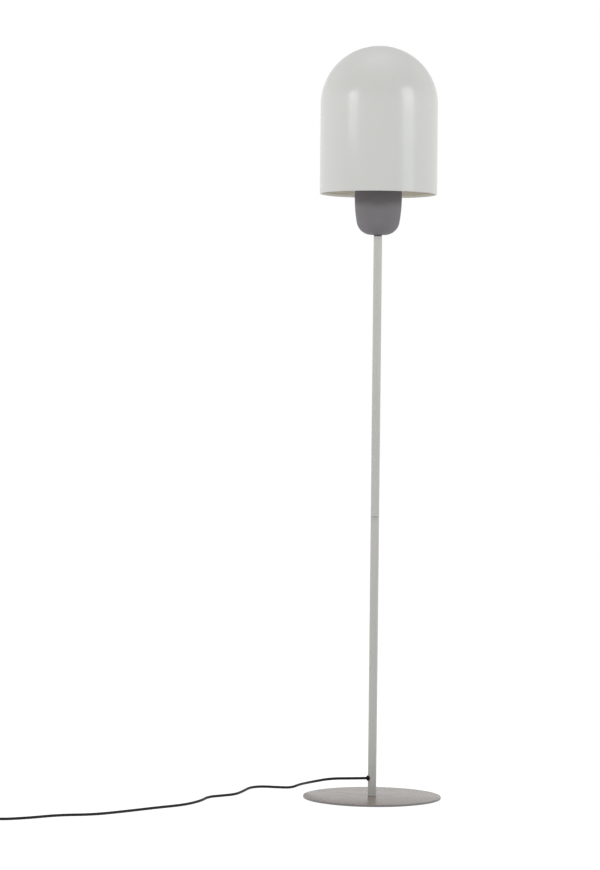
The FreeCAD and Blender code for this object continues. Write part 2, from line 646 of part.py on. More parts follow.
def make_shade():
    inner = "(shade_radius - shade_wall)"
    spring = "(shade_height - shade_radius)"
    fold = "(shade_radius - hem_depth)"
    half = "(hem_depth / 2)"
    shell = turned("shade_shell", [
        ("shade_radius", half, half, "left"), ("shade_radius", spring),
        ("0", "shade_height", "shade_radius", "left"), ("0", "shade_height - shade_wall"),
        (inner, spring, inner, "right"), (inner, "hem_height + hem_depth"), (fold, "hem_height"),
        (fold, half), (f"shade_radius - {half}", "0", half, "left")], shade_rim)
    node(shell, "shade_shell")

    lip = "(cup_radius - cup_wall - carrier_gap)"
    lip_inner = f"({lip} - carrier_thickness)"
    top = "(carrier_lip_depth + carrier_thickness)"
    carrier = turned("shade_carrier", [
        (lip_inner, "0"), (lip, "0"), (lip, "carrier_lip_depth"),
        ("carrier_ring_radius", "carrier_lip_depth"), ("carrier_ring_radius", top), (lip_inner, top)],
        f"{cup_mouth} + seat_gap - carrier_lip_depth")
    tab_outside = f"sqrt(({inner} - tab_gap)^2 - (arm_width / 2)^2)"
    pads = []
    for name, near, height in (("arm", "carrier_ring_radius - 1", "carrier_thickness"),
                               ("tab", f"{tab_outside} - carrier_thickness", "tab_height")):
        sketch = new_sketch(carrier, f"carrier_{name}_outline", "XY_Plane")
        bind(sketch, {"AttachmentOffset.Base.z": "carrier_lip_depth"})
        draw_outline(sketch, [(near, "-arm_width / 2"), (tab_outside, "-arm_width / 2"),
                              (tab_outside, "arm_width / 2"), (near, "arm_width / 2")])
        pad = carrier.newObject("PartDesign::Pad", f"carrier_{name}")
        pad.Profile = (sketch, [""])
        pads.append(bind(pad, {"Length": height}))
    arms = carrier.newObject("PartDesign::PolarPattern", "carrier_arms")
    arms.Originals = pads
    arms.Axis = (next(axis for axis in carrier.Origin.OriginFeatures if axis.Role == "Z_Axis"), [""])
    arms.Angle = 360
    arms.Occurrences = 3
    carrier.Tip = arms
    carrier.Placement.Rotation = Rotation(Vector(0, 0, 1), 90)
    node(carrier, "shade_carrier")


# --- foot switch ---

def oblong(label, inset, height):
    """An upright solid with straight sides and round ends, centred on the Z axis."""
    straight = "((switch_length - switch_width) / 2)"
    end = f"(switch_width / 2 - {inset})"
    tip = f"({straight} + {end})"
    return padded(label, [
        (straight, f"-{end}"), (tip, "0", end, "left"), (straight, end, end, "left"), (f"-{straight}", end),
        (f"-{tip}", "0", end, "left"), (f"-{straight}", f"-{end}", end, "left")], height)


def make_switch():
    parting = "switch_base_height"
    bore = rod("switch_bore_tool", "cord_radius + cord_fit", "switch_length * 2", "-switch_length", z=parting,
               along="X")
    spots = [(side, f"{side} * boss_x", f"{side} * boss_y") for side in (-1, 1)]

    floor_cut = move(oblong("switch_base_inside", "switch_wall", "switch_base_height"), z="switch_wall")
    tray = without("switch_tray", oblong("switch_base_outside", "0", "switch_base_height"), floor_cut)
    posts = [rod(f"base_post_{side}", "boss_radius", "switch_base_height", x, y) for side, x, y in spots]
    shanks = [rod(f"base_hole_{side}", "small_screw_radius + fit", "switch_base_height", x, y)
              for side, x, y in spots]
    heads = [rod(f"base_sink_{side}", "small_head_radius + fit", "small_head_inset", x, y)
             for side, x, y in spots]
    base = without("switch_base", joined("switch_base_posted", tray, *posts), bore, *shanks, *heads)

    outside = oblong("switch_cover_outside", "0", "switch_cover_height")
    doc.recompute()
    pad = outside.Tip
    roof = number_of("switch_cover_height")
    top_edges = edges_where(pad.Shape, lambda edge: all(abs(point.Point.z - roof) < 1e-6
                                                        for point in edge.Vertexes))
    fillet = outside.newObject("PartDesign::Fillet", "switch_cover_round")
    fillet.Base = (pad, top_edges)
    bind(fillet, {"Radius": "switch_round"})
    roof_inside = "(switch_cover_height - switch_wall)"
    hollow = oblong("switch_cover_inside", "switch_wall", roof_inside)
    doc.recompute()
    inner_pad = hollow.Tip
    inner_roof = number_of(roof_inside)
    inner_edges = edges_where(inner_pad.Shape, lambda edge: all(abs(point.Point.z - inner_roof) < 1e-6
                                                                for point in edge.Vertexes))
    inner_fillet = hollow.newObject("PartDesign::Fillet", "switch_inside_round")
    inner_fillet.Base = (inner_pad, inner_edges)
    bind(inner_fillet, {"Radius": "switch_round - switch_wall"})
    shell = without("switch_cover_shell", move(outside, z=parting), move(hollow, z=parting))
    pillar = "(switch_cover_height - switch_wall / 2)"
    pillars = [rod(f"cover_post_{side}", "boss_radius", pillar, x, y, parting) for side, x, y in spots]
    threads = [rod(f"cover_hole_{side}", "small_screw_radius + fit",
                   "small_head_inset + small_screw_length - switch_base_height", x, y, parting)
               for side, x, y in spots]
    mouth = rod("button_hole_tool", "button_radius + button_gap", "switch_cover_height * 2", z=parting)
    cover = without("switch_cover", joined("switch_cover_posted", shell, *pillars), bore, mouth, *threads)

    roof_under = "(switch_base_height + switch_cover_height - switch_wall)"
    flange_top = f"({roof_under} - button_gap)"
    flange_bottom = f"({flange_top} - button_flange)"
    mechanism_top = "(switch_wall + mechanism_height)"
    plunger = f"({flange_bottom} - {mechanism_top} + plunger_overlap)"
    crown = "(switch_wall + button_gap + button_proud - button_dome)"
    dome = "((button_radius^2 + button_dome^2) / (2 * button_dome))"
    step = f"({plunger} + button_flange)"
    button = turned("switch_button", [
        ("0", "0"), ("plunger_radius", "0"), ("plunger_radius", plunger), ("button_flange_radius", plunger),
        ("button_flange_radius", step), ("button_radius", step), ("button_radius", f"{step} + {crown}"),
        ("0", f"{step} + {crown} + button_dome", dome, "left")],
        f"{mechanism_top} - plunger_overlap")
    case = block("mechanism_case", "mechanism_length", "mechanism_width", "mechanism_height", z="switch_wall")
    well_depth = "(button_travel + 2 * plunger_overlap)"
    well = rod("mechanism_well_tool", "plunger_radius + button_gap", well_depth,
               z=f"{mechanism_top} - {well_depth}")
    mechanism = without("switch_mechanism", case, well)

    screws = []
    reliefs = []
    stubs = []
    head_top = "small_head_inset"
    for side, x, y in spots:
        head = rod(f"small_head_{side}", "small_head_radius", "small_head_height", x, y,
                   f"{head_top} - small_head_height")
        shank = rod(f"small_shank_{side}", "small_screw_radius", "small_screw_length", x, y, head_top)
        screws.append(joined(f"small_screw_{side}", head, shank))
        out = "X" if side > 0 else "-X"
        sleeve = cone(f"relief_cone_{side}", "relief_wide", "relief_narrow", "relief_length",
                      f"{side} * switch_length / 2", z=parting, along=out)
        hole = rod(f"relief_bore_{side}", "cord_radius + cord_fit", "relief_length",
                   f"{side} * switch_length / 2", z=parting, along=out)
        reliefs.append(without(f"relief_{side}", sleeve, hole))
        stubs.append(rod(f"cord_stub_{side}", "cord_radius", "(switch_length - mechanism_length) / 2",
                         f"{side} * mechanism_length / 2", z=parting, along=out))
    pieces = {"switch_base": base, "switch_cover": cover, "switch_button": button,
              "switch_mechanism": mechanism, "switch_screws": gathered("switch_screws", *screws),
              "switch_reliefs": gathered("switch_reliefs", *reliefs),
              "switch_cord_stubs": gathered("switch_cord_stubs", *stubs)}
    for label, piece in pieces.items():
        height = "0"
        if label == "switch_button":
            height = f"{mechanism_top} - plunger_overlap"
        node(move(piece, "switch_x", "switch_y", height), label)


# --- plug ---

def make_plug():
    plug_x = f"({coil_start_x} + tail_shift)"
    back = f"({tail_end_y} + plug_relief_length)"
    half, slim = "plug_width / 2", "plug_back_width / 2"
    body = padded("plug_body_block", [
        (slim, "0"), (half, "plug_shoulder"), (half, "plug_length"), (f"-{half}", "plug_length"),
        (f"-{half}", "plug_shoulder"), (f"-{slim}", "0")], "plug_height")
    doc.recompute()
    pad = body.Tip
    fillet = body.newObject("PartDesign::Fillet", "plug_round")
    fillet.Base = (pad, edges_where(pad.Shape, lambda edge: True))
    bind(fillet, {"Radius": "plug_round"})
    move(body, plug_x, back)
    relief = cone("plug_relief", "relief_narrow", "relief_wide", "plug_relief_length + plug_shoulder / 4",
                  plug_x, tail_end_y, plug_entry, "Y")
    node(joined("plug_body", body, relief), "plug_body")
    pins = [rod(f"plug_pin_{side}", "pin_radius", "pin_length", f"{plug_x} + {side} * pin_spacing / 2",
                f"{back} + plug_length", plug_entry, "Y") for side in (-1, 1)]
    node(gathered("plug_pins", *pins), "plug_pins")


make_base()
make_pole()
make_cup()
make_lampholder()
make_bulb()
make_shade()
make_grommet()
make_cords()
make_coil()
make_tie()
make_switch()
make_plug()
doc.recompute()

for thing in doc.Objects:
    if "Invalid" in thing.State or "Error" in thing.State:
        raise RuntimeError(f"{thing.Label} could not be worked out: {thing.State}")
for thing in nodes:
    if thing.Shape.isNull() or not thing.Shape.isValid() or not thing.Shape.Solids:
        raise RuntimeError(f"{thing.Label} has no valid solid")

os.makedirs("parts", exist_ok=True)
for thing in nodes:
    thing.Shape.exportStep(f"parts/{thing.Label}.step")
    print(f"{thing.Label}: {len(thing.Shape.Solids)} solids, {thing.Shape.Volume / 1000:.2f} cm3")
print(len(nodes), "nodes")
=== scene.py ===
import math
import bmesh
import bpy
from mathutils import Matrix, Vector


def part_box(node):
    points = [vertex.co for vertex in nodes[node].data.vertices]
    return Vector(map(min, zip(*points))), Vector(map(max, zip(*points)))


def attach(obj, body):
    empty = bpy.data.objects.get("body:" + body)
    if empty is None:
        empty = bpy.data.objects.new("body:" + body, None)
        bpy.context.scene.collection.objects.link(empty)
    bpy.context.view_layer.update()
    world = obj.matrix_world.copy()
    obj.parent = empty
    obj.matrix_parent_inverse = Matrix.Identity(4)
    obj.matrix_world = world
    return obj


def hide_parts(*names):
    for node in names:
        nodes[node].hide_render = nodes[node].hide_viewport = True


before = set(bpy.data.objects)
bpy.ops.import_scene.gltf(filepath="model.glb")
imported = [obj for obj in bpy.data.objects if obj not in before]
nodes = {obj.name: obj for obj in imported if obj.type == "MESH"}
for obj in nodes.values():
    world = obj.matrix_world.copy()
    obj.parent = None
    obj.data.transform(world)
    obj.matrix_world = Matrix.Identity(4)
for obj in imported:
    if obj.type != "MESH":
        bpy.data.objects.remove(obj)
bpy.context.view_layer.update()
scene = bpy.context.scene


# camera, where the photograph was taken from
cameraPlace = {
    "location": (0.0, -6.075, 0.81),
    "yaw": 0.02488,  # to the left, so the lamp stands right of the middle
    "pitch": 0.01415,  # downwards
    "roll": 0.01044,
    "lens": 126.01,
    "sensorWidth": 36,
    "clipEnd": 80,
}


def makeCamera():
    data = bpy.data.cameras.new("photoCamera")
    data.lens = cameraPlace["lens"]
    data.sensor_width = cameraPlace["sensorWidth"]
    data.clip_end = cameraPlace["clipEnd"]
    camera = bpy.data.objects.new("photoCamera", data)
    scene.collection.objects.link(camera)
    turn = Matrix.Rotation(cameraPlace["yaw"], 4, "Z")
    turn = turn @ Matrix.Rotation(math.pi / 2 - cameraPlace["pitch"], 4, "X")
    turn = turn @ Matrix.Rotation(cameraPlace["roll"], 4, "Z")
    camera.matrix_world = Matrix.Translation(cameraPlace["location"]) @ turn
    scene.camera = camera


makeCamera()
print("camera placed")


# cords, on the routes that the part's source gives, in metres
cord = {
    "radius": 0.0026,
    "exitReach": 0.0114,
    "exitTurn": 22,  # degrees from -X to the front
    "exitHeight": 0.0405,
    "switchMiddle": (-0.789, -0.396, 0.007),
    "switchHalf": 0.031,
    "lead": 0.028,  # the straight run at each end of the foot switch
    "bendReach": (0.032, 0.014, 0.0048),  # from that run to the first bend after the switch, and its height
    "stepsBetweenPoints": 10,
    "roundSteps": 5,
}
coil = {
    "middle": (-0.856, -0.318),
    "radius": 0.037,
    "pitch": 0.006,
    "turns": 5,
    "pointsPerTurn": 16,
    "height": 0.0038,
    "layerRise": 0.0058,
    "lead": 0.0052,
    "approach": 0.027,
    "tail": 0.0388,
    "tailBends": (0.3, 0.7),  # shares of the tail at which it leaves the coil and meets the plug
    "tailShift": 0.002,
    "crossover": 0.25,  # of a turn, on each side of the middle, in which the line climbs to the upper layer
}


def lampRoute():
    floor = cord["radius"]
    turn = math.radians(cord["exitTurn"])
    exitPoint = (-cord["exitReach"] * math.cos(turn), -cord["exitReach"] * math.sin(turn), cord["exitHeight"])
    x, y, entry = cord["switchMiddle"]
    near = x + cord["switchHalf"]
    return [
        exitPoint, (-0.040, -0.015, 0.041), (-0.084, -0.006, 0.039), (-0.123, 0.037, 0.026),
        (-0.148, 0.109, 0.0115), (-0.164, 0.1255, floor), (-0.194, 0.1295, floor), (-0.224, 0.139, floor),
        (-0.2485, 0.122, floor), (-0.2585, 0.0685, floor), (-0.272, 0.013, floor), (-0.298, -0.0105, floor),
        (-0.326, -0.0325, floor), (-0.336, -0.0915, floor), (-0.365, -0.154, floor), (-0.416, -0.199, floor),
        (-0.469, -0.2535, floor), (-0.529, -0.3085, floor), (-0.592, -0.320, floor), (-0.648, -0.366, floor),
        (-0.698, -0.390, floor), (near + cord["lead"], y, entry), (near, y, entry)]


def coilPoint(turn):  # after so many turns, clockwise from the coil's -X side
    left = turn - coil["turns"] / 2
    cross = coil["crossover"]
    reach = abs(left) if abs(left) >= cross else left ** 2 / (2 * cross) + cross / 2
    climb = math.sin(math.pi / 2 * max(-1, min(1, left / cross)))
    across = coil["radius"] - coil["pitch"] * (coil["turns"] / 2 - reach)
    angle = math.pi - 2 * math.pi * turn
    x, y = coil["middle"]
    return (x + across * math.cos(angle), y + across * math.sin(angle),
            coil["height"] + coil["layerRise"] * (1 + climb) / 2)


def plugRoute():
    x, y, entry = cord["switchMiddle"]
    far, lead = x - cord["switchHalf"], cord["lead"]
    coilX, coilY = coil["middle"]
    low, side = coil["height"], coilX - coil["radius"]
    start = coilY - coil["lead"]
    bendX, bendY, bendHeight = cord["bendReach"]
    route = [(far, y, entry), (far - lead, y, entry), (far - lead - bendX, y + bendY, bendHeight),
             (side, start - coil["approach"], low), (side, start, low)]
    for step in range(coil["turns"] * coil["pointsPerTurn"] + 1):
        route.append(coilPoint(step / coil["pointsPerTurn"]))
    high, end, tail = low + coil["layerRise"], coilY + coil["lead"], coil["tail"]
    leave, meet = coil["tailBends"]
    plugX = side + coil["tailShift"]
    return route + [(side, end, high), (side, end + leave * tail, high),
                    (plugX, end + meet * tail, entry), (plugX, end + tail, entry)]


def layCord(name, route):
    data = bpy.data.curves.new(name, "CURVE")
    data.dimensions = "3D"
    line = data.splines.new("NURBS")
    line.points.add(len(route) - 1)
    for point, place in zip(line.points, route):
        point.co = (*place, 1)
        point.radius = cord["radius"]
    line.order_u = 3
    line.use_endpoint_u = True
    data.resolution_u = cord["stepsBetweenPoints"]
    data.bevel_depth = 1.0  # times the radius of the points
    data.bevel_resolution = cord["roundSteps"]
    data.use_fill_caps = True
    piece = bpy.data.objects.new(name, data)
    scene.collection.objects.link(piece)
    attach(piece, "lamp")
    return piece


lampCord = layCord("lampCord", lampRoute())
plugCord = layCord("plugCord", plugRoute())
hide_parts("lamp_cord")
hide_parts("plug_cord", "cord_coil", "coil_tail")


# finishes, and what all of them share
surface = {
    "cloudDetail": 3.0,
    "cloudStart": 0.35,  # of the noise, where the colour begins to drift
    "cloudEnd": 0.65,
    "patchScale": 5,  # the roughness changes in patches so many times finer than the colour
    "patchDetail": 4.0,
    "patchStart": 0.3,
    "patchEnd": 0.7,
    "patchDrift": 0.08,
    "grainDetail": 2.0,
}


def newMaterial(name):
    material = bpy.data.materials.new(name)
    material.use_nodes = True
    return material, material.node_tree, material.node_tree.nodes["Principled BSDF"]


def addNoise(tree, scale, detail):
    place = tree.nodes.new("ShaderNodeTexCoord")
    noise = tree.nodes.new("ShaderNodeTexNoise")
    noise.inputs["Scale"].default_value = scale
    noise.inputs["Detail"].default_value = detail
    tree.links.new(place.outputs["Object"], noise.inputs["Vector"])
    return noise.outputs["Fac"]


def spreadColour(tree, fac, socket, low, high):
    ramp = tree.nodes.new("ShaderNodeValToRGB")
    ramp.color_ramp.elements[0].position = surface["cloudStart"]
    ramp.color_ramp.elements[1].position = surface["cloudEnd"]
    ramp.color_ramp.elements[0].color = (*low, 1)
    ramp.color_ramp.elements[1].color = (*high, 1)
    tree.links.new(fac, ramp.inputs["Fac"])
    tree.links.new(ramp.outputs["Color"], socket)


def spreadRange(tree, value, start, end, low, high):
    spread = tree.nodes.new("ShaderNodeMapRange")
    spread.inputs["From Min"].default_value = start
    spread.inputs["From Max"].default_value = end
    spread.inputs["To Min"].default_value = low
    spread.inputs["To Max"].default_value = high
    tree.links.new(value, spread.inputs["Value"])
    return spread.outputs["Result"]


def addBump(tree, shader, fac, strength, distance):
    bump = tree.nodes.new("ShaderNodeBump")
    bump.inputs["Strength"].default_value = strength
    bump.inputs["Distance"].default_value = distance
    tree.links.new(fac, bump.inputs["Height"])
    tree.links.new(bump.outputs["Normal"], shader.inputs["Normal"])


def makeFinish(name, colour, roughness, drift=0.03, cloud=6.0, grain=900.0, grainDepth=0.00002,
               strength=0.25, sockets=None):
    material, tree, shader = newMaterial(name)
    clouds = addNoise(tree, cloud, surface["cloudDetail"])
    low = [channel * (1 - drift) for channel in colour]
    high = [min(1, channel * (1 + drift)) for channel in colour]
    spreadColour(tree, clouds, shader.inputs["Base Color"], low, high)
    patches = addNoise(tree, cloud * surface["patchScale"], surface["patchDetail"])
    smoothest = roughness * (1 - surface["patchDrift"])
    roughest = min(1, roughness * (1 + surface["patchDrift"]))
    rough = spreadRange(tree, patches, surface["patchStart"], surface["patchEnd"], smoothest, roughest)
    tree.links.new(rough, shader.inputs["Roughness"])
    for socket, value in (sockets or {}).items():
        shader.inputs[socket].default_value = value
    addBump(tree, shader, addNoise(tree, grain, surface["grainDetail"]), strength, grainDepth)
    return material


metal = {"Metallic": 1.0}
finishes = {
    "shadeLacquer": dict(colour=(0.397, 0.399, 0.383), roughness=0.5, drift=0.01, cloud=3.0, grain=260.0,
                         grainDepth=0.000012, sockets={"Coat Weight": 0.85, "Coat Roughness": 0.17}),
    "shadeInside": dict(colour=(0.84, 0.80, 0.70), roughness=0.62, drift=0.02, grain=700.0),
    "cupPaint": dict(colour=(0.124, 0.117, 0.124), roughness=0.6, drift=0.03, grain=1500.0,
                     grainDepth=0.00005, sockets={"Specular IOR Level": 0.2}),
    "polePaint": dict(colour=(0.345, 0.342, 0.324), roughness=0.5, drift=0.012, cloud=4.0, grain=1300.0,
                      sockets={"Coat Weight": 0.5, "Coat Roughness": 0.12}),
    "basePaint": dict(colour=(0.150, 0.138, 0.144), roughness=0.4, drift=0.02, cloud=8.0, grain=900.0,
                      grainDepth=0.000005),
    # painted reflection: the plate's top is painted warmer than its edge, standing in for the warm room it
    # reflects; it is also smoother
    "baseTopWarmReflection": dict(colour=(0.172, 0.140, 0.122), roughness=0.27, drift=0.02, cloud=8.0, grain=900.0,
                    grainDepth=0.000001, strength=0.03),
    # painted shade: near black for the recessed step at each tube's foot
    "stepPaintedShade": dict(colour=(0.04, 0.04, 0.04), roughness=0.8),
    "collarGrey": dict(colour=(0.085, 0.083, 0.083), roughness=0.5, drift=0.05),
    "footFoam": dict(colour=(0.03, 0.03, 0.03), roughness=0.95, drift=0.25, cloud=60.0, grain=500.0,
                     grainDepth=0.0002),
    "zincSteel": dict(colour=(0.60, 0.61, 0.63), roughness=0.32, drift=0.06, cloud=40.0, grain=600.0,
                      sockets=metal),
    "holderBlack": dict(colour=(0.018, 0.018, 0.018), roughness=0.38, drift=0.12),
    "blockWhite": dict(colour=(0.75, 0.73, 0.68), roughness=0.5, drift=0.03, cloud=60.0),
    "contactBrass": dict(colour=(0.72, 0.50, 0.20), roughness=0.28, drift=0.06, cloud=80.0, sockets=metal),
    "coreSleeve": dict(colour=(0.05, 0.12, 0.32), roughness=0.4, drift=0.05),
    "bulbBlack": dict(colour=(0.015, 0.015, 0.015), roughness=0.2, drift=0.1),
    "bulbNickel": dict(colour=(0.72, 0.71, 0.69), roughness=0.25, drift=0.04, cloud=70.0, sockets=metal),
    "bulbWhite": dict(colour=(0.80, 0.80, 0.78), roughness=0.35, drift=0.01, cloud=20.0),
    "boardWhite": dict(colour=(0.85, 0.85, 0.82), roughness=0.5, drift=0.02),
    "globeOpal": dict(colour=(0.88, 0.87, 0.83), roughness=0.3, drift=0.01,
                      sockets={"Transmission Weight": 0.25, "IOR": 1.45}),
    "cordBlack": dict(colour=(0.008, 0.007, 0.008), roughness=0.6, drift=0.15, cloud=30.0, grain=1500.0,
                      grainDepth=0.00005, sockets={"Specular IOR Level": 0.25}),
    "grommetBlack": dict(colour=(0.006, 0.006, 0.006), roughness=0.6, drift=0.15, cloud=90.0,
                         sockets={"Specular IOR Level": 0.2}),
    "switchBlack": dict(colour=(0.018, 0.018, 0.019), roughness=0.45, drift=0.1, cloud=50.0, grain=2200.0,
                        grainDepth=0.00002),
    "buttonBlack": dict(colour=(0.03, 0.03, 0.031), roughness=0.25, drift=0.08, cloud=60.0),
    "tieBlack": dict(colour=(0.02, 0.02, 0.02), roughness=0.8, drift=0.2, cloud=300.0, grain=1600.0,
                     grainDepth=0.0001),
    "plugBlack": dict(colour=(0.016, 0.016, 0.016), roughness=0.48, drift=0.1, cloud=50.0, grain=1800.0,
                      grainDepth=0.00002),
    "pinNickel": dict(colour=(0.74, 0.72, 0.68), roughness=0.18, drift=0.03, cloud=90.0, sockets=metal),
}
materials = {name: makeFinish(name, **look) for name, look in finishes.items()}

# the CAD pieces that show their own shape
nodeFinishes = {
    "shadeInside": ["shade_carrier"],
    "polePaint": ["lower_joint_insert", "pole_top_insert"],
    "collarGrey": ["neck_collar"],
    "footFoam": ["foot_sheet"],
    "zincSteel": ["base_screw", "pole_foot_insert", "upper_joint_insert", "joint_nipple", "neck_nipple",
                  "cup_washer", "cup_nut", "switch_screws"],
    "holderBlack": ["lampholder_cap", "lampholder_body"],
    "blockWhite": ["contact_block"],
    "contactBrass": ["thread_shell", "centre_contact", "terminal_screws", "bulb_tip_contact"],
    "coreSleeve": ["lampholder_cores"],
    "bulbBlack": ["bulb_insulator"],
    "bulbNickel": ["bulb_cap"],
    "bulbWhite": ["bulb_housing"],
    "boardWhite": ["led_board"],
    "globeOpal": ["bulb_globe"],
    "cordBlack": ["pole_cable", "switch_cord_stubs"],
    "grommetBlack": ["cord_grommet", "switch_reliefs"],
    "switchBlack": ["switch_base", "switch_cover", "switch_mechanism"],
    "buttonBlack": ["switch_button"],
    "tieBlack": ["cord_tie"],
    "plugBlack": ["plug_body"],
    "pinNickel": ["plug_pins"],
}


def giveFinish(piece, name):
    piece.data.materials.clear()
    piece.data.materials.append(materials[name])


for finishName, nodeNames in nodeFinishes.items():
    for nodeName in nodeNames:
        giveFinish(nodes[nodeName], finishName)
giveFinish(lampCord, "cordBlack")
giveFinish(plugCord, "cordBlack")
print("finishes given")


# turned pieces: an outline of a few moves in the XZ plane, spun about the pole
turned = {
    "sharpAngle": 35,  # degrees, from which an edge shows as sharp
    "mergeDistance": 0.000001,
}


def startOutline(across, up):
    mesh = bmesh.new()
    return mesh, [mesh.verts.new((across, 0, up))]


def lineTo(mesh, outline, across, up):
    made = bmesh.ops.extrude_vert_indiv(mesh, verts=[outline[-1]])["verts"][0]
    made.co = (across, 0, up)
    outline.append(made)


def arcAbout(mesh, outline, across, up, degrees, steps):  # clockwise as seen from the front is positive
    known = set(mesh.verts)
    last = bmesh.ops.spin(mesh, geom=[outline[-1]], cent=(across, 0, up), axis=(0, 1, 0),
                          angle=math.radians(degrees), steps=steps, use_duplicate=False)["geom_last"]
    outline.extend(vert for vert in mesh.verts if vert not in known)
    outline.append(next(vert for vert in last if isinstance(vert, bmesh.types.BMVert)))


def spinOutline(mesh, outline, steps, closed=True):
    if closed:
        mesh.edges.new((outline[-1], outline[0]))
    bmesh.ops.spin(mesh, geom=mesh.verts[:] + mesh.edges[:], cent=(0, 0, 0), axis=(0, 0, 1), angle=2 * math.pi,
                   steps=steps, use_merge=True, use_duplicate=False)
    bmesh.ops.remove_doubles(mesh, verts=mesh.verts, dist=turned["mergeDistance"])
    bmesh.ops.recalc_face_normals(mesh, faces=mesh.faces)


def softenShading(mesh):
    for face in mesh.faces:
        face.smooth = True
    for edge in mesh.edges:
        edge.smooth = edge.calc_face_angle(0) < math.radians(turned["sharpAngle"])


def addPiece(name, mesh, body, slotName, *finishNames):
    softenShading(mesh)
    data = bpy.data.meshes.new(name)
    mesh.to_mesh(data)
    mesh.free()
    piece = bpy.data.objects.new(name, data)
    scene.collection.objects.link(piece)
    for finishName in finishNames:
        data.materials.append(materials[finishName])
    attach(piece, body)
    return piece


# shade: a dome on a straight skirt, with its rim folded inwards
shade = {
    "wall": 0.0012,
    "hemDepth": 0.0024,
    "hemHeight": 0.006,
    "domeSteps": 40,
    "rimSteps": 8,
    "turnSteps": 160,
}


def makeShade():
    low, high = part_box("shade_shell")
    radius, rim, top = high[0], low[2], high[2]
    spring = top - radius
    half = shade["hemDepth"] / 2
    inner = radius - shade["wall"]
    mesh, outline = startOutline(0, top)
    arcAbout(mesh, outline, 0, spring, 90, shade["domeSteps"])
    lineTo(mesh, outline, radius, rim + half)
    arcAbout(mesh, outline, radius - half, rim + half, 180, shade["rimSteps"])
    lineTo(mesh, outline, radius - shade["hemDepth"], rim + shade["hemHeight"])
    lineTo(mesh, outline, inner, rim + shade["hemHeight"] + shade["hemDepth"])
    lineTo(mesh, outline, inner, spring)
    arcAbout(mesh, outline, 0, spring, -90, shade["domeSteps"])
    spinOutline(mesh, outline, shade["turnSteps"], closed=False)
    middle = (radius + inner) / 2
    for face in mesh.faces:
        x, y, z = face.calc_center_median()
        reach = math.sqrt(x * x + y * y + max(z - spring, 0) ** 2)
        face.material_index = 1 if reach < middle and z > rim + half else 0
    piece = addPiece("shadeShell", mesh, "shade", "shade_lacquer", "shadeLacquer", "shadeInside")
    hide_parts("shade_shell")


# cup: a deep bowl with a small flat floor
cup = {
    "wall": 0.0012,
    "floorRadius": 0.0135,
    "holeRadius": 0.00505,
    "cornerRadius": 0.0295,
    "cornerAngle": 80,
    "cornerSteps": 20,
    "sideSteps": 14,
    "lipSteps": 6,
    "turnSteps": 128,
}


def makeCup():
    low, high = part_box("lamp_cup")
    radius, bottom, mouth, wall = high[0], low[2], high[2], cup["wall"]
    angle, corner, floor = cup["cornerAngle"], cup["cornerRadius"], cup["floorRadius"]
    sine, cosine = math.sin(math.radians(angle)), math.cos(math.radians(angle))
    side = (radius - floor - corner * sine) / (1 - sine)
    upright = bottom + corner * (1 - cosine) + side * cosine
    mesh, outline = startOutline(cup["holeRadius"], bottom)
    lineTo(mesh, outline, floor, bottom)
    arcAbout(mesh, outline, floor, bottom + corner, -angle, cup["cornerSteps"])
    arcAbout(mesh, outline, radius - side, upright, angle - 90, cup["sideSteps"])
    lineTo(mesh, outline, radius, mouth - wall / 2)
    arcAbout(mesh, outline, radius - wall / 2, mouth - wall / 2, -180, cup["lipSteps"])
    lineTo(mesh, outline, radius - wall, upright)
    arcAbout(mesh, outline, radius - side, upright, 90 - angle, cup["sideSteps"])
    arcAbout(mesh, outline, floor, bottom + corner, angle, cup["cornerSteps"])
    lineTo(mesh, outline, cup["holeRadius"], bottom + wall)
    spinOutline(mesh, outline, cup["turnSteps"])
    piece = addPiece("lampCup", mesh, "lamp", "cup_paint", "cupPaint")
    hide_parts("lamp_cup")


# base: one round plate with its edges eased, and a countersunk hole from below
base = {
    "edge": 0.0007,
    "headRadius": 0.00605,
    "headHeight": 0.00325,
    "holeRadius": 0.00305,
    "edgeSteps": 4,
    "turnSteps": 192,
    "topSlope": 0.9,  # faces that look up more than this are the top, which gets the painted warm reflection
}


def makeBase():
    low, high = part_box("base_plate")
    radius, bottom, top, edge = high[0], low[2], high[2], base["edge"]
    mesh, outline = startOutline(base["headRadius"], bottom)
    lineTo(mesh, outline, radius - edge, bottom)
    arcAbout(mesh, outline, radius - edge, bottom + edge, -90, base["edgeSteps"])
    lineTo(mesh, outline, radius, top - edge)
    arcAbout(mesh, outline, radius - edge, top - edge, -90, base["edgeSteps"])
    lineTo(mesh, outline, base["holeRadius"], top)
    lineTo(mesh, outline, base["holeRadius"], bottom + base["headHeight"])
    spinOutline(mesh, outline, base["turnSteps"])
    for face in mesh.faces:  # the top is painted a little warmer, a painted warm reflection, and is smoother
        face.material_index = 1 if face.normal.z > base["topSlope"] else 0
    piece = addPiece("basePlate", mesh, "lamp", "base_paint", "basePaint", "baseTopWarmReflection")
    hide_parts("base_plate")


# pole: two tubes, each with a narrow step round its foot, whose faces are painted near black as a painted
# shadow, so it shows as a dark line
pole = {
    "radius": 0.0085,
    "wall": 0.0015,
    "footStep": 0.0003,
    "jointStep": 0.0008,
    "stepDepth": 0.001,
    "paintedShadeShare": 1.1,  # of the step's height, counted from the foot, that is painted dark as painted shade
    "edge": 0.0003,
    "turnSteps": 64,
}


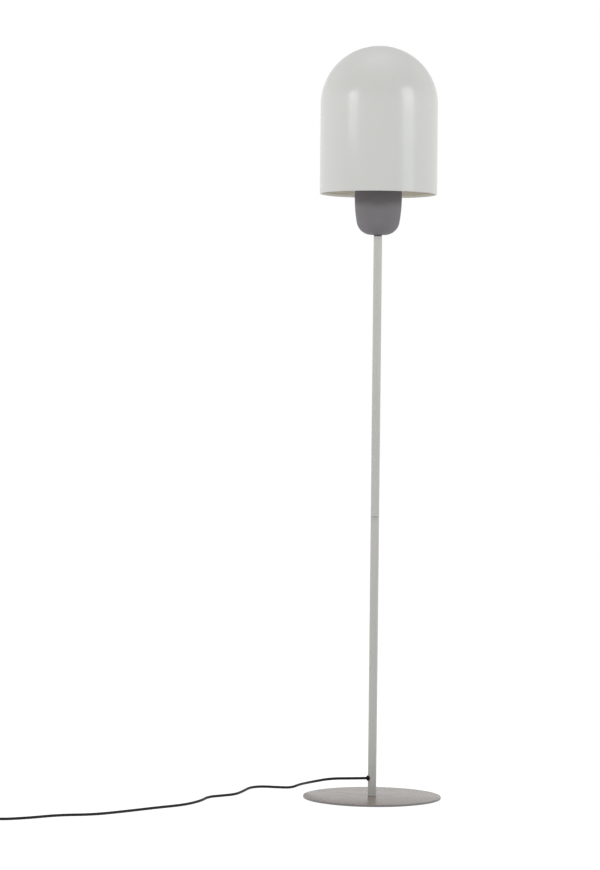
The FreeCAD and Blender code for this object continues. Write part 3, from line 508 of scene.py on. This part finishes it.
def makeTube(name, node, step):
    low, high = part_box(node)
    radius, bottom, top, edge = pole["radius"], low[2], high[2], pole["edge"]
    inner, stepped = radius - pole["wall"], radius - pole["stepDepth"]
    mesh, outline = startOutline(inner, bottom)
    lineTo(mesh, outline, stepped, bottom)
    lineTo(mesh, outline, stepped, bottom + step)
    lineTo(mesh, outline, radius, bottom + step)
    lineTo(mesh, outline, radius, top - edge)
    lineTo(mesh, outline, radius - edge, top)
    lineTo(mesh, outline, inner, top)
    spinOutline(mesh, outline, pole["turnSteps"])
    paintedShadeTop = bottom + pole["paintedShadeShare"] * step
    # the step's faces get the painted shadow
    for face in mesh.faces:
        face.material_index = 1 if face.calc_center_median().z < paintedShadeTop else 0
    piece = addPiece(name, mesh, "lamp", "pole_paint", "polePaint", "stepPaintedShade")
    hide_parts(node)


makeShade()
makeCup()
makeBase()
makeTube("lowerTube", "lower_tube", pole["footStep"])
makeTube("upperTube", "upper_tube", pole["jointStep"])
print("turned pieces made")


print("cords laid")


# studio: a wide pale floor and a pale room, darker above the camera, with soft lights on both sides
studio = {
    "floorRadius": 30.0,
    "floorSides": 96,
    "floorColour": (0.2, 0.2, 0.2, 1),
    "floorGlow": 0.9,
    "wallLight": (1.0, 1.0, 1.0, 1),
    "ceilingLight": (0.4, 0.4, 0.4, 1),
    "wallTop": 0.17,  # sine of the height angle at which the room begins to darken
    "ceilingStart": 0.36,
    "backDarkness": 0.5,  # how much of that darkness the room has behind the lamp
    "frontStart": 0.0,
    "frontFull": 0.35,
    "lightDistance": 2.6,
}
# the strips are only seen as reflections, and the lamps light without a highlight of their own
strips = {
    "leftStrip": dict(azimuth=51, width=0.86, low=1.6, high=2.38, glow=3.4, colour=(1.0, 1.0, 1.0)),
    "leftStripFoot": dict(azimuth=51, width=0.86, low=1.35, high=1.6, glow=2.0, colour=(1.0, 1.0, 1.0)),
    "rightStrip": dict(azimuth=-58, width=1.15, low=1.6, high=2.7, glow=3.5, colour=(0.96, 0.99, 1.0)),
    "rightStripFoot": dict(azimuth=-58, width=1.15, low=0.8, high=1.6, glow=1.65, colour=(0.90, 0.99, 1.0)),
}
lamps = {
    "leftLamp": dict(azimuth=60, width=0.6, low=1.7, high=2.18, glow=50.0, colour=(1.0, 1.0, 1.0)),
    "rightLamp": dict(azimuth=-57, width=0.6, low=1.7, high=2.18, glow=45.0, colour=(1.0, 1.0, 1.0)),
}
ceilingLamp = {
    "height": 3.0,
    "width": 0.9,
    "glow": 4.1,
}


def makeFloor():
    mesh = bmesh.new()
    bmesh.ops.create_circle(mesh, cap_ends=True, segments=studio["floorSides"], radius=studio["floorRadius"])
    data = bpy.data.meshes.new("studioFloor")
    mesh.to_mesh(data)
    mesh.free()
    floor = bpy.data.objects.new("studioFloor", data)
    scene.collection.objects.link(floor)
    material, tree, shader = newMaterial("studioFloor")
    shader.inputs["Base Color"].default_value = studio["floorColour"]
    shader.inputs["Roughness"].default_value = 1.0
    shader.inputs["Specular IOR Level"].default_value = 0.0
    shader.inputs["Emission Color"].default_value = (1, 1, 1, 1)
    shader.inputs["Emission Strength"].default_value = studio["floorGlow"]
    data.materials.append(material)


def makeLight(name, width, height, glow, colour, place, turn):
    data = bpy.data.lights.new(name, "AREA")
    data.shape = "RECTANGLE"
    data.size = width
    data.size_y = height
    data.energy = glow * math.pi * width * height
    data.color = colour
    light = bpy.data.objects.new(name, data)
    scene.collection.objects.link(light)
    light.location = place
    light.rotation_euler = turn
    light.visible_camera = False
    return light


def makeSideLight(name, azimuth, width, low, high, glow, colour):
    angle, away = math.radians(azimuth), studio["lightDistance"]
    place = (-away * math.sin(angle), -away * math.cos(angle), (low + high) / 2)
    return makeLight(name, width, high - low, glow, colour, place, (math.pi / 2, 0, -angle))


def lightRoom():
    world = bpy.data.worlds.new("studioRoom")
    world.use_nodes = True
    tree = world.node_tree
    place = tree.nodes.new("ShaderNodeTexCoord")
    split = tree.nodes.new("ShaderNodeSeparateXYZ")
    tree.links.new(place.outputs["Generated"], split.inputs["Vector"])
    height = spreadRange(tree, split.outputs["Z"], studio["wallTop"], studio["ceilingStart"], 0, 1)
    front = spreadRange(tree, split.outputs["Y"], -studio["frontStart"], -studio["frontFull"],
                        studio["backDarkness"], 1)
    darkness = tree.nodes.new("ShaderNodeMath")
    darkness.operation = "MULTIPLY"
    tree.links.new(height, darkness.inputs[0])
    tree.links.new(front, darkness.inputs[1])
    mix = tree.nodes.new("ShaderNodeMix")
    mix.data_type = "RGBA"
    mix.inputs["A"].default_value = studio["wallLight"]
    mix.inputs["B"].default_value = studio["ceilingLight"]
    tree.links.new(darkness.outputs["Value"], mix.inputs["Factor"])
    tree.links.new(mix.outputs["Result"], tree.nodes["Background"].inputs["Color"])
    scene.world = world


makeFloor()
lightRoom()
for lightName, light in strips.items():
    makeSideLight(lightName, **light).visible_diffuse = False
for lightName, light in lamps.items():
    makeSideLight(lightName, **light).visible_glossy = False
makeLight("ceilingLamp", ceilingLamp["width"], ceilingLamp["width"], ceilingLamp["glow"], (1, 1, 1),
          (0, 0, ceilingLamp["height"]), (0, 0, 0)).visible_glossy = False
scene.view_settings.view_transform = "Standard"
print("studio lit")

bpy.context.view_layer.update()
